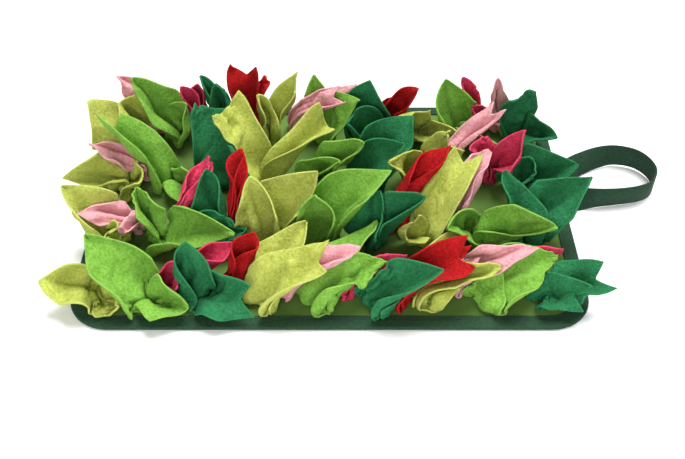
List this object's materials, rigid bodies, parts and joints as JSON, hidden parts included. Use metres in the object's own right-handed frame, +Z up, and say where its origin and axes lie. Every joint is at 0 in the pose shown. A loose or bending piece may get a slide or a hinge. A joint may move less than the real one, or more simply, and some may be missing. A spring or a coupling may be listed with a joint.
{
  "type": "snuffle mat",
  "caption": "Pet snuffle mat: flat bound cloth base with rows of pointed green, lime, pink and red fleece leaves and a tape hanging loop.",
  "frame": {"origin": "centre of the mat's underside, on the surface it lies on (the hanging loop sticks out to +X and isn't counted in the centre)", "axes": "+X along the long side towards the hanging loop, +Y to the back row of leaves, +Z up"},
  "size_m": [0.6379, 0.34, 0.078],
  "materials": {
    "base_cloth": "matt plain-woven polyester cloth",
    "binding_tape": "matt woven tape, folded round the edge",
    "strap_tape": "matt woven tape",
    "lime_fleece": "soft brushed lime yellow fleece",
    "apple_fleece": "soft brushed apple green fleece",
    "dark_fleece": "soft brushed deep green fleece",
    "pink_fleece": "soft brushed pale pink fleece",
    "rose_fleece": "soft brushed rose fleece",
    "red_fleece": "soft brushed red fleece"
  },
  "bodies": {
    "root": {"back_apple_1": "apple_fleece", "back_apple_2": "apple_fleece", "back_apple_3": "apple_fleece", "back_dark_1": "dark_fleece", "back_dark_2": "dark_fleece", "back_dark_3": "dark_fleece", "back_lime_1": "lime_fleece", "back_lime_2": "lime_fleece", "back_lime_3": "lime_fleece", "back_pink_1": "pink_fleece", "back_pink_2": "pink_fleece", "back_pink_4": "pink_fleece", "back_red_1": "red_fleece", "back_red_2": "red_fleece", "back_rose_1": "rose_fleece", "back_rose_3": "rose_fleece", "base": "base_cloth", "binding": "binding_tape", "front_apple_1": "apple_fleece", "front_apple_2": "apple_fleece", "front_apple_3": "apple_fleece", "front_dark_1": "dark_fleece", "front_dark_2": "dark_fleece", "front_dark_3": "dark_fleece", "front_lime_1": "lime_fleece", "front_lime_2": "lime_fleece", "front_lime_3": "lime_fleece", "front_pink_2": "pink_fleece", "front_pink_3": "pink_fleece", "front_red_1": "red_fleece", "front_red_2": "red_fleece", "front_rose_1": "rose_fleece", "front_rose_2": "rose_fleece", "front_rose_3": "rose_fleece", "second_apple_1": "apple_fleece", "second_apple_2": "apple_fleece", "second_apple_3": "apple_fleece", "second_dark_1": "dark_fleece", "second_dark_2": "dark_fleece", "second_dark_3": "dark_fleece", "second_lime_1": "lime_fleece", "second_lime_2": "lime_fleece", "second_lime_3": "lime_fleece", "second_pink_1": "pink_fleece", "second_pink_3": "pink_fleece", "second_red_1": "red_fleece", "second_red_2": "red_fleece", "second_rose_1": "rose_fleece", "strap": "strap_tape", "third_apple_1": "apple_fleece", "third_apple_2": "apple_fleece", "third_dark_1": "dark_fleece", "third_dark_2": "dark_fleece", "third_dark_3": "dark_fleece", "third_lime_1": "lime_fleece", "third_lime_2": "lime_fleece", "third_lime_3": "lime_fleece", "third_pink_1": "pink_fleece", "third_pink_3": "pink_fleece", "third_rose_3": "rose_fleece"}
  },
  "joints": []
}
